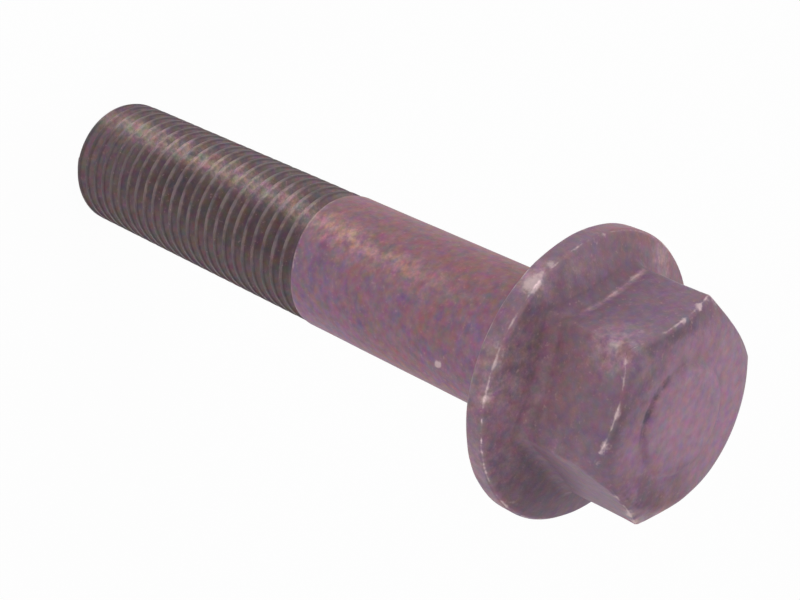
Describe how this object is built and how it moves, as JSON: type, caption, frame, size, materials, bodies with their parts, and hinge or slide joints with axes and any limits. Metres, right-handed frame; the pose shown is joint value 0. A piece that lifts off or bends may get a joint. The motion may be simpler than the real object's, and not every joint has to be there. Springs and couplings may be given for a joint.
{
  "type": "hexagon flange bolt",
  "caption": "Forged hexagon flange bolt with a plain shank and a fine right-hand thread, dark phosphate finish worn bright on its edges.",
  "frame": {"origin": "centre of the bearing face under the flange", "axes": "+Z along the bolt's axis, from the threaded point up through the head; a corner of the hexagon lies on +X"},
  "size_m": [0.028, 0.028, 0.0811],
  "materials": {
    "forged_steel": "dark phosphate and oil, mauve to grey, worn bright on its edges"
  },
  "bodies": {
    "root": {"flange_bolt": "forged_steel"}
  },
  "joints": []
}
